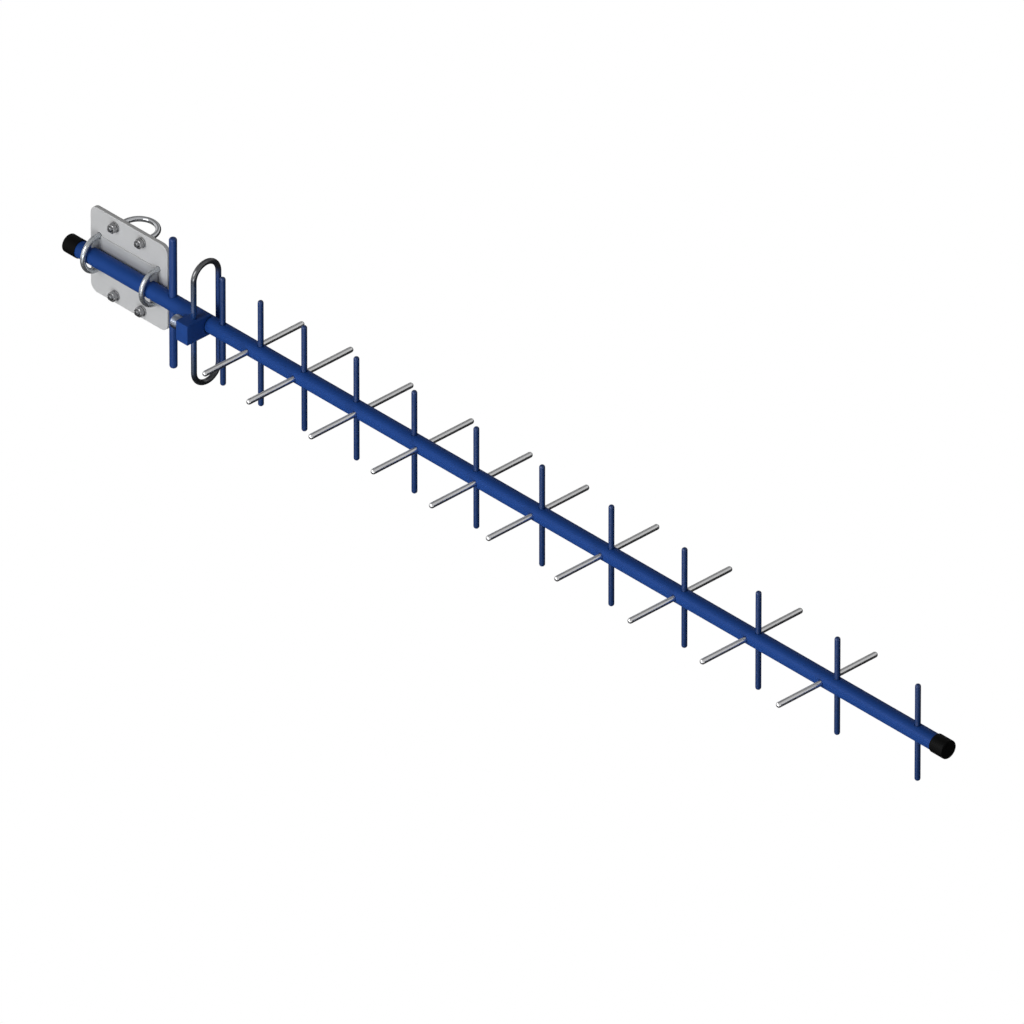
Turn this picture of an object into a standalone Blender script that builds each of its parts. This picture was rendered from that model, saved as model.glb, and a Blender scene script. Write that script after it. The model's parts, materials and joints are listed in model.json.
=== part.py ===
"""Directional cellular antenna: a Yagi on a round boom, with a clamp plate for a mast.

Millimetre sizes are multiplied by MM, so every object is in metres. The origin is the middle of
the face that bears on the mast: +X runs along the boom towards the front, +Y points from the
plate to the mast, and +Z is up along the mast.
"""

import math

import bmesh
import bpy
from mathutils import Matrix, Vector

MM = 0.001

# Clearance between neighbours that touch or seat on each other
FIT = 0.3 * MM

# Points closer than this are one point, and an edge is sharp, flat or a rim by the angle it bends
WELD = 0.002 * MM
SHARP_ANGLE = math.radians(35)
FLAT_ANGLE = math.radians(1)
RIM_ANGLE = math.radians(60)

# Boom tube and its push-on end caps
BOOM_R = 9.525 * MM
BOOM_WALL = 1.6 * MM
REAR_REACH = 80.0 * MM      # mast axis to the rear end of the antenna
FRONT_TAIL = 46.0 * MM      # last director to the front end of the antenna
CAP_LENGTH = 18.5 * MM
CAP_WALL = 0.9 * MM
CAP_END = 1.8 * MM
CAP_EDGE = 0.9 * MM         # rounding of the cap's closed end

# Elements, with stations measured forward from the reflector
REFLECTOR_X = 80.0 * MM     # mast axis to the reflector
REFLECTOR_R = 4.4 * MM
REFLECTOR_LENGTH = 161.5 * MM
ELEMENT_R = 3.175 * MM
ROD_R = 3.175 * MM
END_CHAMFER = 0.6 * MM
DIRECTORS = (               # station, length
    (76.0 * MM, 134.5 * MM), (134.0 * MM, 131.0 * MM), (200.5 * MM, 131.0 * MM),
    (280.0 * MM, 128.5 * MM), (368.0 * MM, 127.5 * MM), (462.0 * MM, 126.0 * MM),
    (561.5 * MM, 125.5 * MM), (666.0 * MM, 125.0 * MM), (776.0 * MM, 123.5 * MM),
    (887.0 * MM, 121.5 * MM), (1005.0 * MM, 120.5 * MM), (1125.0 * MM, 119.0 * MM),
)
CROSS_RODS = (              # space to the director beside it (minus: behind it), length
    (-4.9 * MM, 144.0 * MM), (-0.5 * MM, 151.0 * MM), (0.5 * MM, 148.0 * MM),
    (5.7 * MM, 145.5 * MM), (0.5 * MM, 146.0 * MM), (-0.5 * MM, 145.5 * MM),
    (-0.5 * MM, 148.0 * MM), (-0.5 * MM, 147.5 * MM), (-4.3 * MM, 145.0 * MM),
    (-9.2 * MM, 143.0 * MM),
)
FIRST_CROSSED = 2           # director that the first cross rod stands beside

# Folded dipole: a bent rod whose two ends meet across the feed gap inside the housing
DIPOLE_X = 50.5 * MM
DIPOLE_BEND_R = 17.75 * MM
DIPOLE_STRAIGHT = 112.5 * MM
FEED_GAP = 8.0 * MM

# Moulded feed housing, clipped over the front half of the boom
HOUSING_THICKNESS = 17.5 * MM
HOUSING_REAR = 10.0 * MM    # dipole's axis to the housing's rear face
HOUSING_LIP = 2.2 * MM      # wall above and below the boom
HOUSING_NOSE = 16.5 * MM    # outer face to the dipole leg inside it
HOUSING_WRAP = 1.0 * MM     # how far the lips reach past the boom's axis
HOUSING_ROUND = 1.2 * MM

# Coaxial jack on the back of the housing
JACK_R = 7.94 * MM
JACK_OFFSET = 4.25 * MM     # jack axis out from the dipole leg
JACK_LENGTH = 14.0 * MM
JACK_SPIGOT_R = 5.0 * MM
JACK_SPIGOT_DEPTH = 2.4 * MM
JACK_COLLAR_R = 8.7 * MM
JACK_COLLAR = 3.0 * MM
JACK_RELIEF = 1.2 * MM
JACK_RELIEF_DEPTH = 0.9 * MM
JACK_EDGE = 0.6 * MM
JACK_BORE_R = 4.1 * MM
JACK_BORE_DEPTH = 9.0 * MM  # rim to the face that the plug's outer contact meets
INSULATOR_R = 3.5 * MM
INSULATOR_LENGTH = 4.4 * MM
CONTACT_R = 1.5 * MM
CONTACT_REACH = 4.0 * MM    # past the insulator, towards the rim
CONTACT_BORE_R = 0.85 * MM
CONTACT_BORE_DEPTH = 4.5 * MM

# Mounting plate
PLATE_WIDTH = 118.0 * MM
PLATE_HEIGHT = 106.0 * MM
PLATE_THICKNESS = 5.0 * MM
PLATE_CORNER_R = 10.0 * MM
PLATE_EDGE = 0.5 * MM
BOOM_BOLT_X = 45.0 * MM     # mast axis to each boom U-bolt
MAST_BOLT_Z = 42.5 * MM     # boom height to each mast U-bolt

# Pressed cradle between the boom and the plate
CRADLE_SHEET = 1.2 * MM
CRADLE_HEIGHT = 42.0 * MM
CRADLE_BEND = 1.4 * MM      # bend radius at the middle of the sheet

# U-bolts, nuts and washers, all of one thread size
BOLT_R = 3.0 * MM
BOLT_SPAN = 41.0 * MM       # leg to leg
BOLT_HOLE_GAP = 0.4 * MM
MAST_R = 13.4 * MM          # mast that the upper and lower U-bolts are drawn up for
THREAD_OUT = 2.6 * MM       # thread that stands past the nut
NUT_FLATS = 10.0 * MM
NUT_HEIGHT = 5.0 * MM
NUT_CHAMFER = 0.75 * MM     # depth of the cone at each face
NUT_CONE_SLOPE = 2.0        # cone's run outwards for its depth
WASHER_R = 6.0 * MM
WASHER_THICKNESS = 1.6 * MM

# Facets
BOOM_SIDES = 32
JACK_SIDES = 24
ROD_SIDES = 16
HEX_SIDES = 6
HOLE_SIDES = 12
RING_SIDES = 18
WIRE_RESOLUTION = 4         # of a curve's bevel, which gives 12 sides
BOW_STEPS = 14
CORNER_STEPS = 6
BEND_STEPS = 4
ROUND_STEPS = 3

# Places that follow from the sizes above
BOOM_Y = -(PLATE_THICKNESS + FIT + CRADLE_SHEET + FIT + BOOM_R)
REAR_END = -REAR_REACH
FRONT_END = REFLECTOR_X + DIRECTORS[-1][0] + FRONT_TAIL
FEED_X = REFLECTOR_X + DIPOLE_X
LEG_Y = BOOM_Y - DIPOLE_BEND_R
JACK_Y = LEG_Y - JACK_OFFSET
HOUSING_BACK_X = FEED_X - HOUSING_REAR
HOUSING_HALF_HEIGHT = BOOM_R + FIT + HOUSING_LIP
BOLT_HALF_SPAN = BOLT_SPAN / 2
BOLT_HOLE_R = BOLT_R + BOLT_HOLE_GAP
BOW_Y = BOOM_Y - BOOM_R - FIT - BOLT_R + BOLT_HALF_SPAN
SEATED = WASHER_THICKNESS + NUT_HEIGHT + 2 * FIT

ALONG_X = Matrix.Rotation(math.radians(90), 4, "Y")
BACK_ALONG_X = Matrix.Rotation(math.radians(-90), 4, "Y")
ALONG_Y = Matrix.Rotation(math.radians(-90), 4, "X")
ALONG_Z = Matrix.Identity(4)


def clear_scene():
    for thing in list(bpy.data.objects):
        bpy.data.objects.remove(thing, do_unlink=True)


def new_collection(name):
    group = bpy.data.collections.new(name)
    bpy.context.scene.collection.children.link(group)
    return group


def material(name, colour, roughness, metallic):
    made = bpy.data.materials.new(name)
    made.use_nodes = True
    shader = made.node_tree.nodes["Principled BSDF"]
    shader.inputs["Base Color"].default_value = (*colour, 1.0)
    shader.inputs["Roughness"].default_value = roughness
    shader.inputs["Metallic"].default_value = metallic
    made.diffuse_color = (*colour, 1.0)
    return made


clear_scene()
PARTS = new_collection("directional_cellular_antenna")
CUTTERS = new_collection("cutters")

BLUE = material("blue_anodised_aluminium", (0.012, 0.050, 0.255), 0.38, 0.35)
ROD_METAL = material("bright_rod", (0.56, 0.56, 0.57), 0.30, 1.0)
DARK_METAL = material("blackened_rod", (0.030, 0.032, 0.036), 0.28, 0.6)
PLATE_METAL = material("satin_aluminium", (0.56, 0.56, 0.56), 0.45, 0.6)
BOLT_METAL = material("stainless_steel", (0.42, 0.43, 0.44), 0.25, 1.0)
HOUSING_BLUE = material("blue_moulding", (0.014, 0.055, 0.240), 0.45, 0.0)
CAP_BLACK = material("black_plastic", (0.008, 0.008, 0.008), 0.50, 0.0)
JACK_METAL = material("nickel_plate", (0.60, 0.61, 0.64), 0.22, 1.0)
PTFE = material("white_ptfe", (0.82, 0.82, 0.80), 0.50, 0.0)
GOLD = material("gold_plate", (0.80, 0.58, 0.22), 0.25, 1.0)


def add(name, mesh, place=ALONG_Z, group=None):
    """Link an object that shows the mesh at a place."""
    made = bpy.data.objects.new(name, mesh)
    made.matrix_world = place
    (group or PARTS).objects.link(made)
    return made


def at(x, y, z, turn=ALONG_Z):
    return Matrix.Translation(Vector((x, y, z))) @ turn


def settle(thing, finish=None):
    """Apply an object's modifiers, weld its mesh and shade it smooth up to an edge angle."""
    bpy.context.view_layer.update()
    seen = thing.evaluated_get(bpy.context.evaluated_depsgraph_get())
    mesh = bpy.data.meshes.new_from_object(seen)
    shell = bmesh.new()
    shell.from_mesh(mesh)
    bmesh.ops.remove_doubles(shell, verts=shell.verts, dist=WELD)
    shell.to_mesh(mesh)
    shell.free()
    mesh.shade_smooth()
    mesh.set_sharp_from_angle(angle=SHARP_ANGLE)
    mesh.materials.clear()
    if finish:
        mesh.materials.append(finish)
    name, place, group = thing.name, thing.matrix_world.copy(), thing.users_collection[0]
    bpy.data.objects.remove(thing, do_unlink=True)
    mesh.name = name
    return add(name, mesh, place, group)


def turned(name, outline, place, sides, group=None):
    """Lathe: an outline of (radius, height) points, run down its outer side, swept round local Z."""
    mesh = bpy.data.meshes.new(name)
    corners = [(r, 0.0, h) for r, h in outline]
    edges = [(i, i + 1) for i in range(len(corners) - 1)]
    if outline[0][0] > 0 or outline[-1][0] > 0:
        edges.append((len(corners) - 1, 0))
    mesh.from_pydata(corners, edges, [])
    made = add(name, mesh, place, group)
    screw = made.modifiers.new("sweep", "SCREW")
    screw.axis = "Z"
    screw.steps = screw.render_steps = sides
    screw.use_merge_vertices = True
    screw.merge_threshold = WELD
    return made


def cylinder(name, radius, low, high, place, sides, group=None):
    return turned(name, [(0, high), (radius, high), (radius, low), (0, low)], place, sides, group)


def rod_outline(radius, length, chamfer):
    half = length / 2
    edge = radius - chamfer
    return [(0, half), (edge, half), (radius, half - chamfer),
            (radius, chamfer - half), (edge, -half), (0, -half)]


def bent_wire(name, points, radius):
    """A round wire along a list of points, with closed ends."""
    path = bpy.data.curves.new(name, "CURVE")
    path.dimensions = "3D"
    path.bevel_depth = radius
    path.bevel_resolution = WIRE_RESOLUTION
    path.use_fill_caps = True
    spline = path.splines.new("POLY")
    spline.points.add(len(points) - 1)
    for knot, point in zip(spline.points, points):
        knot.co = (*point, 1.0)
    return add(name, path)


def flat_outline(name, points, thickness):
    """A flat sheet of the outline in local XY, centred on its thickness along local Z."""
    outline = bpy.data.curves.new(name, "CURVE")
    outline.dimensions = "2D"
    outline.fill_mode = "BOTH"
    outline.extrude = thickness / 2
    spline = outline.splines.new("POLY")
    spline.points.add(len(points) - 1)
    for knot, (x, y) in zip(spline.points, points):
        knot.co = (x, y, 0.0, 1.0)
    spline.use_cyclic_u = True
    return add(name, outline)


def arc(centre, radius, start, sweep, steps):
    """Points on an arc, with angles in degrees, as (x, y) pairs."""
    turns = [math.radians(start + sweep * i / steps) for i in range(steps + 1)]
    return [(centre[0] + radius * math.cos(t), centre[1] + radius * math.sin(t)) for t in turns]


def cut(thing, cutter, operation="DIFFERENCE"):
    """Boolean with a cutter that is used once and kept out of the render."""
    cutter.hide_render = True
    cutter.display_type = "WIRE"
    step = thing.modifiers.new("cut", "BOOLEAN")
    step.operation = operation
    step.object = cutter
    return thing


def drop_cutters():
    for cutter in list(CUTTERS.objects):
        bpy.data.objects.remove(cutter, do_unlink=True)


def joined(name, things):
    """Gather cutters that don't meet into one cutter, so that one Boolean makes them all."""
    shell = bmesh.new()
    for thing in things:
        bpy.context.view_layer.update()
        seen = thing.evaluated_get(bpy.context.evaluated_depsgraph_get())
        mesh = bpy.data.meshes.new_from_object(seen)
        mesh.transform(thing.matrix_world)
        shell.from_mesh(mesh)
        bpy.data.meshes.remove(mesh)
        bpy.data.objects.remove(thing, do_unlink=True)
    whole = bpy.data.meshes.new(name)
    shell.to_mesh(whole)
    shell.free()
    return add(name, whole, group=CUTTERS)


def director_x(number):
    return REFLECTOR_X + DIRECTORS[number - 1][0]


def cross_rod_x(number):
    """A cross rod stands beside a director, with the stated space between the two surfaces."""
    space = CROSS_RODS[number - 1][0]
    away = math.copysign(ELEMENT_R + ROD_R + abs(space), space)
    return director_x(FIRST_CROSSED + number - 1) + away


def element_rows():
    """Every straight element: name, station, radius, length, direction and metal."""
    rows = [("reflector", REFLECTOR_X, REFLECTOR_R, REFLECTOR_LENGTH, ALONG_Z, BLUE)]
    for number, (_, length) in enumerate(DIRECTORS, 1):
        rows.append((f"director_{number:02d}", director_x(number), ELEMENT_R,
                     length, ALONG_Z, BLUE))
    for number, (_, length) in enumerate(CROSS_RODS, 1):
        rows.append((f"cross_rod_{number:02d}", cross_rod_x(number), ROD_R,
                     length, ALONG_Y, ROD_METAL))
    return rows


def make_elements():
    for name, x, radius, length, turn, metal in element_rows():
        outline = rod_outline(radius, length, END_CHAMFER)
        settle(turned(name, outline, at(x, BOOM_Y, 0, turn), ROD_SIDES), metal)


def make_boom():
    """A tube, drilled through both walls for each element."""
    low = REAR_END + CAP_END + FIT
    high = FRONT_END - CAP_END - FIT
    inner = BOOM_R - BOOM_WALL
    outline = [(BOOM_R, high), (BOOM_R, low), (inner, low), (inner, high)]
    boom = turned("boom", outline, at(0, BOOM_Y, 0, ALONG_X), BOOM_SIDES)
    for turn, label in ((ALONG_Z, "upright_holes"), (ALONG_Y, "cross_holes")):
        drills = []
        for name, x, radius, _, way, _ in element_rows():
            if way is turn:
                reach = 2 * BOOM_R
                drills.append(cylinder(name + "_drill", radius + FIT, -reach, reach,
                                       at(x, BOOM_Y, 0, turn), HOLE_SIDES, CUTTERS))
        cut(boom, joined(label, drills))
    settle(boom, BLUE)


def make_caps():
    """Push-on cups: a thin wall over the tube and a closed end with a rounded edge."""
    bore = BOOM_R + FIT
    outer = bore + CAP_WALL
    corner = [(outer - CAP_EDGE + x, z - CAP_EDGE)
              for x, z in arc((0, CAP_LENGTH), CAP_EDGE, 90, -90, ROUND_STEPS)]
    floor = CAP_LENGTH - CAP_END
    outline = [(0, CAP_LENGTH)] + corner + [(outer, 0), (bore, 0), (bore, floor), (0, floor)]
    for name, x, turn in (("front_end_cap", FRONT_END - CAP_LENGTH, ALONG_X),
                          ("rear_end_cap", REAR_END + CAP_LENGTH, BACK_ALONG_X)):
        settle(turned(name, outline, at(x, BOOM_Y, 0, turn), BOOM_SIDES), CAP_BLACK)


def make_dipole():
    """One rod round two half circles; its ends face each other across the feed gap."""
    top = DIPOLE_STRAIGHT / 2
    bend = DIPOLE_BEND_R
    loop = [(-bend, FEED_GAP / 2)]
    loop += arc((0, top), bend, 180, -180, BOW_STEPS)
    loop += arc((0, -top), bend, 0, -180, BOW_STEPS)
    loop.append((-bend, -FEED_GAP / 2))
    points = [(FEED_X, BOOM_Y + y, z) for y, z in loop]
    settle(bent_wire("folded_dipole", points, ELEMENT_R), DARK_METAL)


def make_housing():
    """A moulded block: groove for the boom, a bore for each dipole end, a socket for the jack."""
    outer_y = LEG_Y - HOUSING_NOSE
    inner_y = BOOM_Y + HOUSING_WRAP
    mesh = bpy.data.meshes.new("feed_housing")
    shell = bmesh.new()
    size = (HOUSING_THICKNESS, inner_y - outer_y, 2 * HOUSING_HALF_HEIGHT, 1.0)
    bmesh.ops.create_cube(shell, size=1.0, matrix=Matrix.Diagonal(size))
    shell.to_mesh(mesh)
    shell.free()
    middle_x = HOUSING_BACK_X + HOUSING_THICKNESS / 2
    block = add("feed_housing", mesh, at(middle_x, (outer_y + inner_y) / 2, 0))
    rounding = block.modifiers.new("rounding", "BEVEL")
    rounding.width = HOUSING_ROUND
    rounding.segments = ROUND_STEPS
    reach = HOUSING_HALF_HEIGHT * 2
    groove = cylinder("boom_groove", BOOM_R + FIT, -reach, reach,
                      at(FEED_X, BOOM_Y, 0, ALONG_X), BOOM_SIDES, CUTTERS)
    cut(block, groove)
    drills = []
    for side in (-1, 1):
        ends = sorted((side * (FEED_GAP / 2 - FIT), side * reach))
        drills.append(cylinder("leg_drill", ELEMENT_R + FIT, *ends,
                               at(FEED_X, LEG_Y, 0), ROD_SIDES, CUTTERS))
    drills.append(cylinder("jack_drill", JACK_SPIGOT_R + FIT, -reach, JACK_SPIGOT_DEPTH + FIT,
                           at(HOUSING_BACK_X, JACK_Y, 0, ALONG_X), ROD_SIDES, CUTTERS))
    cut(block, joined("housing_drills", drills))
    settle(block, HOUSING_BLUE)


def make_jack():
    """Threaded shell, insulator and socket contact, on one axis that points to the rear."""
    face = at(HOUSING_BACK_X - FIT, JACK_Y, 0, BACK_ALONG_X)
    neck = JACK_R - JACK_RELIEF_DEPTH
    relief_end = JACK_COLLAR + JACK_RELIEF
    ledge = JACK_LENGTH - JACK_BORE_DEPTH
    low = ledge - INSULATOR_LENGTH
    pocket = INSULATOR_R + FIT
    outline = [
        (0, low - FIT), (pocket, low - FIT), (pocket, ledge), (JACK_BORE_R, ledge),
        (JACK_BORE_R, JACK_LENGTH - JACK_EDGE),
        (JACK_BORE_R + JACK_EDGE, JACK_LENGTH), (JACK_R - JACK_EDGE, JACK_LENGTH),
        (JACK_R, JACK_LENGTH - JACK_EDGE), (JACK_R, relief_end), (neck, relief_end),
        (neck, JACK_COLLAR), (JACK_COLLAR_R - JACK_EDGE, JACK_COLLAR),
        (JACK_COLLAR_R, JACK_COLLAR - JACK_EDGE), (JACK_COLLAR_R, 0), (JACK_SPIGOT_R, 0),
        (JACK_SPIGOT_R, -JACK_SPIGOT_DEPTH), (0, -JACK_SPIGOT_DEPTH),
    ]
    settle(turned("jack_shell", outline, face, JACK_SIDES), JACK_METAL)
    hole = CONTACT_R + FIT
    bead = [(hole, ledge), (INSULATOR_R, ledge), (INSULATOR_R, low), (hole, low)]
    settle(turned("jack_insulator", bead, face, RING_SIDES), PTFE)
    tip = ledge + CONTACT_REACH
    socket = [(0, tip - CONTACT_BORE_DEPTH), (CONTACT_BORE_R, tip - CONTACT_BORE_DEPTH),
              (CONTACT_BORE_R, tip), (CONTACT_R, tip), (CONTACT_R, low), (0, low)]
    settle(turned("jack_contact", socket, face, HOLE_SIDES), GOLD)


def rounded_rectangle(width, height, radius, steps):
    """Corner points of a rectangle with round corners, anticlockwise from the right."""
    across, up = width / 2 - radius, height / 2 - radius
    corners = ((across, up, 0), (-across, up, 90), (-across, -up, 180), (across, -up, 270))
    return [p for x, y, start in corners for p in arc((x, y), radius, start, 90, steps)]


def make_plate():
    """A flat plate with rounded corners and broken edges, drilled for the four U-bolts."""
    outline = rounded_rectangle(PLATE_WIDTH, PLATE_HEIGHT, PLATE_CORNER_R, CORNER_STEPS)
    stock = flat_outline("plate_stock", outline, PLATE_THICKNESS)
    stock.matrix_world = at(0, -PLATE_THICKNESS / 2, 0, ALONG_Y)
    plate = settle(stock)
    plate.name = "mounting_plate"
    mark_mast_strip(plate.data)
    edge = plate.modifiers.new("broken_edge", "BEVEL")
    edge.width = PLATE_EDGE
    edge.segments = 1
    edge.limit_method = "ANGLE"
    edge.angle_limit = RIM_ANGLE
    drills = [cylinder("bolt_drill", BOLT_HOLE_R, -2 * PLATE_THICKNESS, 2 * PLATE_THICKNESS,
                       at(x, 0, z, ALONG_Y), ROD_SIDES, CUTTERS) for x, z in bolt_places()]
    cut(plate, joined("plate_drills", drills))
    settle(plate, PLATE_METAL)


def mark_mast_strip(mesh):
    """Make each side of the plate one face, and the strip that the mast covers a face of its own."""
    shell = bmesh.new()
    shell.from_mesh(mesh)
    bmesh.ops.dissolve_limit(shell, angle_limit=FLAT_ANGLE, verts=shell.verts, edges=shell.edges)
    for side in (-MAST_R, MAST_R):
        everything = shell.verts[:] + shell.edges[:] + shell.faces[:]
        bmesh.ops.bisect_plane(shell, geom=everything, dist=WELD,
                               plane_co=(side, 0, 0), plane_no=(1, 0, 0))
    shell.to_mesh(mesh)
    shell.free()


def bolt_places():
    """Where U-bolt legs pass the plate, as (x, z): the boom's four and then the mast's four."""
    signs = ((-1, -1), (-1, 1), (1, -1), (1, 1))
    boom_legs = [(a * BOOM_BOLT_X, b * BOLT_HALF_SPAN) for a, b in signs]
    mast_legs = [(a * BOLT_HALF_SPAN, b * MAST_BOLT_Z) for a, b in signs]
    return boom_legs + mast_legs


def make_cradle():
    """A pressed channel: its web lies on the plate and its notched ends hold the boom."""
    web_y = -(PLATE_THICKNESS + FIT + CRADLE_SHEET / 2)
    corner = BOOM_BOLT_X - CRADLE_BEND
    bend_y = web_y - CRADLE_BEND
    section = [(-BOOM_BOLT_X, BOOM_Y)]
    section += arc((-corner, bend_y), CRADLE_BEND, 180, -90, BEND_STEPS)
    section += arc((corner, bend_y), CRADLE_BEND, 90, -90, BEND_STEPS)
    section.append((BOOM_BOLT_X, BOOM_Y))
    half = CRADLE_HEIGHT / 2
    shell = bmesh.new()
    rows = [[shell.verts.new((x, y, z)) for x, y in section] for z in (-half, half)]
    for i in range(len(section) - 1):
        shell.faces.new((rows[0][i], rows[0][i + 1], rows[1][i + 1], rows[1][i]))
    mesh = bpy.data.meshes.new("boom_cradle")
    shell.to_mesh(mesh)
    shell.free()
    cradle = add("boom_cradle", mesh)
    sheet = cradle.modifiers.new("sheet", "SOLIDIFY")
    sheet.thickness = CRADLE_SHEET
    sheet.offset = 0.0
    cut(cradle, joined("bow_room", [bow_room(x) for x in (-BOOM_BOLT_X, BOOM_BOLT_X)]))
    boom_room = cylinder("boom_room", BOOM_R + FIT, -2 * BOOM_BOLT_X, 2 * BOOM_BOLT_X,
                         at(0, BOOM_Y, 0, ALONG_X), BOOM_SIDES, CUTTERS)
    cut(cradle, boom_room)
    settle(cradle, PLATE_METAL)


def bow_room(x):
    """A ring that trims the cradle's end to stand inside the bow of the U-bolt there."""
    inside = BOLT_HALF_SPAN - BOLT_R - FIT
    outside = BOLT_HALF_SPAN + CRADLE_HEIGHT / 2
    half = BOLT_R + FIT
    ring = [(outside, half), (outside, -half), (inside, -half), (inside, half)]
    return turned("bow_ring", ring, at(x, BOW_Y, 0, ALONG_X), BOOM_SIDES, CUTTERS)


def nut_mesh():
    """A hexagon with a bolt hole, whose corners are turned down to a cone at both faces."""
    corner_r = NUT_FLATS / math.sqrt(3)
    half = NUT_HEIGHT / 2
    nut = cylinder("nut_stock", corner_r, -half, half, at(0, 0, 0), HEX_SIDES)
    face_r = NUT_FLATS / 2
    side_r = face_r + NUT_CONE_SLOPE * NUT_CHAMFER
    side = half - NUT_CHAMFER
    cone = [(0, half), (face_r, half), (side_r, side), (side_r, -side), (face_r, -half), (0, -half)]
    cut(nut, turned("nut_cone", cone, at(0, 0, 0), RING_SIDES, CUTTERS), "INTERSECT")
    cut(nut, cylinder("nut_bore", BOLT_R + FIT, -2 * NUT_HEIGHT, 2 * NUT_HEIGHT,
                      at(0, 0, 0), HOLE_SIDES, CUTTERS))
    return shared_mesh(nut, BOLT_METAL)


def washer_mesh():
    half = WASHER_THICKNESS / 2
    bore = BOLT_R + FIT
    ring = [(WASHER_R, half), (WASHER_R, -half), (bore, -half), (bore, half)]
    return shared_mesh(turned("washer_stock", ring, at(0, 0, 0), RING_SIDES), BOLT_METAL)


def shared_mesh(thing, finish):
    """Settle a stock object, keep its mesh for the copies and remove the object."""
    stock = settle(thing, finish)
    mesh = stock.data
    bpy.data.objects.remove(stock, do_unlink=True)
    return mesh


def make_fasteners():
    """Each U-bolt runs through the plate to a washer and a nut on each leg."""
    nut, washer = nut_mesh(), washer_mesh()
    mast_crown = 2 * MAST_R + BOLT_R
    behind = SEATED + THREAD_OUT
    front = -PLATE_THICKNESS - behind
    for label, x in (("rear", -BOOM_BOLT_X), ("front", BOOM_BOLT_X)):
        bow = arc((BOW_Y, 0), BOLT_HALF_SPAN, 90, 180, BOW_STEPS)
        legs = [(behind, BOLT_HALF_SPAN)] + bow + [(behind, -BOLT_HALF_SPAN)]
        name = f"boom_u_bolt_{label}"
        settle(bent_wire(name, [(x, y, z) for y, z in legs], BOLT_R), BOLT_METAL)
        for level, z in (("upper", BOLT_HALF_SPAN), ("lower", -BOLT_HALF_SPAN)):
            add_pair(f"{label}_{level}", (x, z), 0.0, 1, nut, washer)
    for level, z in (("upper", MAST_BOLT_Z), ("lower", -MAST_BOLT_Z)):
        bow_y = mast_crown - BOLT_HALF_SPAN
        bow = arc((0, bow_y), BOLT_HALF_SPAN, 180, -180, BOW_STEPS)
        legs = [(-BOLT_HALF_SPAN, front)] + bow + [(BOLT_HALF_SPAN, front)]
        name = f"mast_u_bolt_{level}"
        settle(bent_wire(name, [(x, y, z) for x, y in legs], BOLT_R), BOLT_METAL)
        for label, x in (("rear", -BOLT_HALF_SPAN), ("front", BOLT_HALF_SPAN)):
            add_pair(f"mast_{level}_{label}", (x, z), -PLATE_THICKNESS, -1, nut, washer)


def add_pair(label, leg, face_y, way, nut, washer):
    """A washer on the plate face and a nut on the washer, on the leg at (x, z)."""
    x, z = leg
    washer_y = face_y + way * (FIT + WASHER_THICKNESS / 2)
    nut_y = face_y + way * (2 * FIT + WASHER_THICKNESS + NUT_HEIGHT / 2)
    add(f"washer_{label}", washer, at(x, washer_y, z, ALONG_Y))
    add(f"nut_{label}", nut, at(x, nut_y, z, ALONG_Y))


make_boom()
make_caps()
make_elements()
make_dipole()
make_housing()
make_jack()
make_plate()
make_cradle()
make_fasteners()
drop_cutters()
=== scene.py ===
"""Looks of the directional cellular antenna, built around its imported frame.

Sizes are in metres, in the frame's own axes: +X along the boom to the front, +Y from the clamp
plate to the mast, +Z up. Each piece stands for one CAD node and takes its place and size from it.
"""

import json
import math

import bmesh
import bpy
import numpy as np
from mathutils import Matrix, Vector

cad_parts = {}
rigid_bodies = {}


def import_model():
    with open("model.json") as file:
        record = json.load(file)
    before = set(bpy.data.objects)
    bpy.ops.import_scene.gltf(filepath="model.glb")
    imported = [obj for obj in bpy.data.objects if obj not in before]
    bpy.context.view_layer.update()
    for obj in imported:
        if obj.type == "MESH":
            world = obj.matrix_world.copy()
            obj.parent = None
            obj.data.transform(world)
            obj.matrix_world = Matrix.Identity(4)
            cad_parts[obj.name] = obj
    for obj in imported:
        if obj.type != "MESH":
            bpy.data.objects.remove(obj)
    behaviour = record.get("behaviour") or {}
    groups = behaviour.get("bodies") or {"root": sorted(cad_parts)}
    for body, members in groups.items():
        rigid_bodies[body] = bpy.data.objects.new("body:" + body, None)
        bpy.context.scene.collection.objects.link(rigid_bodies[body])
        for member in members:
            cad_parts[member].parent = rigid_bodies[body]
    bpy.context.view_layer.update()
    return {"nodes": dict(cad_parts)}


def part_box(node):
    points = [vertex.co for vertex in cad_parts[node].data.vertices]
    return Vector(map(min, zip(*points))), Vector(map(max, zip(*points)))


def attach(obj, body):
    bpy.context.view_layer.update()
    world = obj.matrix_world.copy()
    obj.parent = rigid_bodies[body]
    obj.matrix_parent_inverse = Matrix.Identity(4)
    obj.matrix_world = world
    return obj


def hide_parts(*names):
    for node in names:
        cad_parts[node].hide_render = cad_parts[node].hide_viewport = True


for thing in list(bpy.data.objects):
    bpy.data.objects.remove(thing, do_unlink=True)

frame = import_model()

MM = 0.001
TURN = 2 * math.pi

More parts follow.
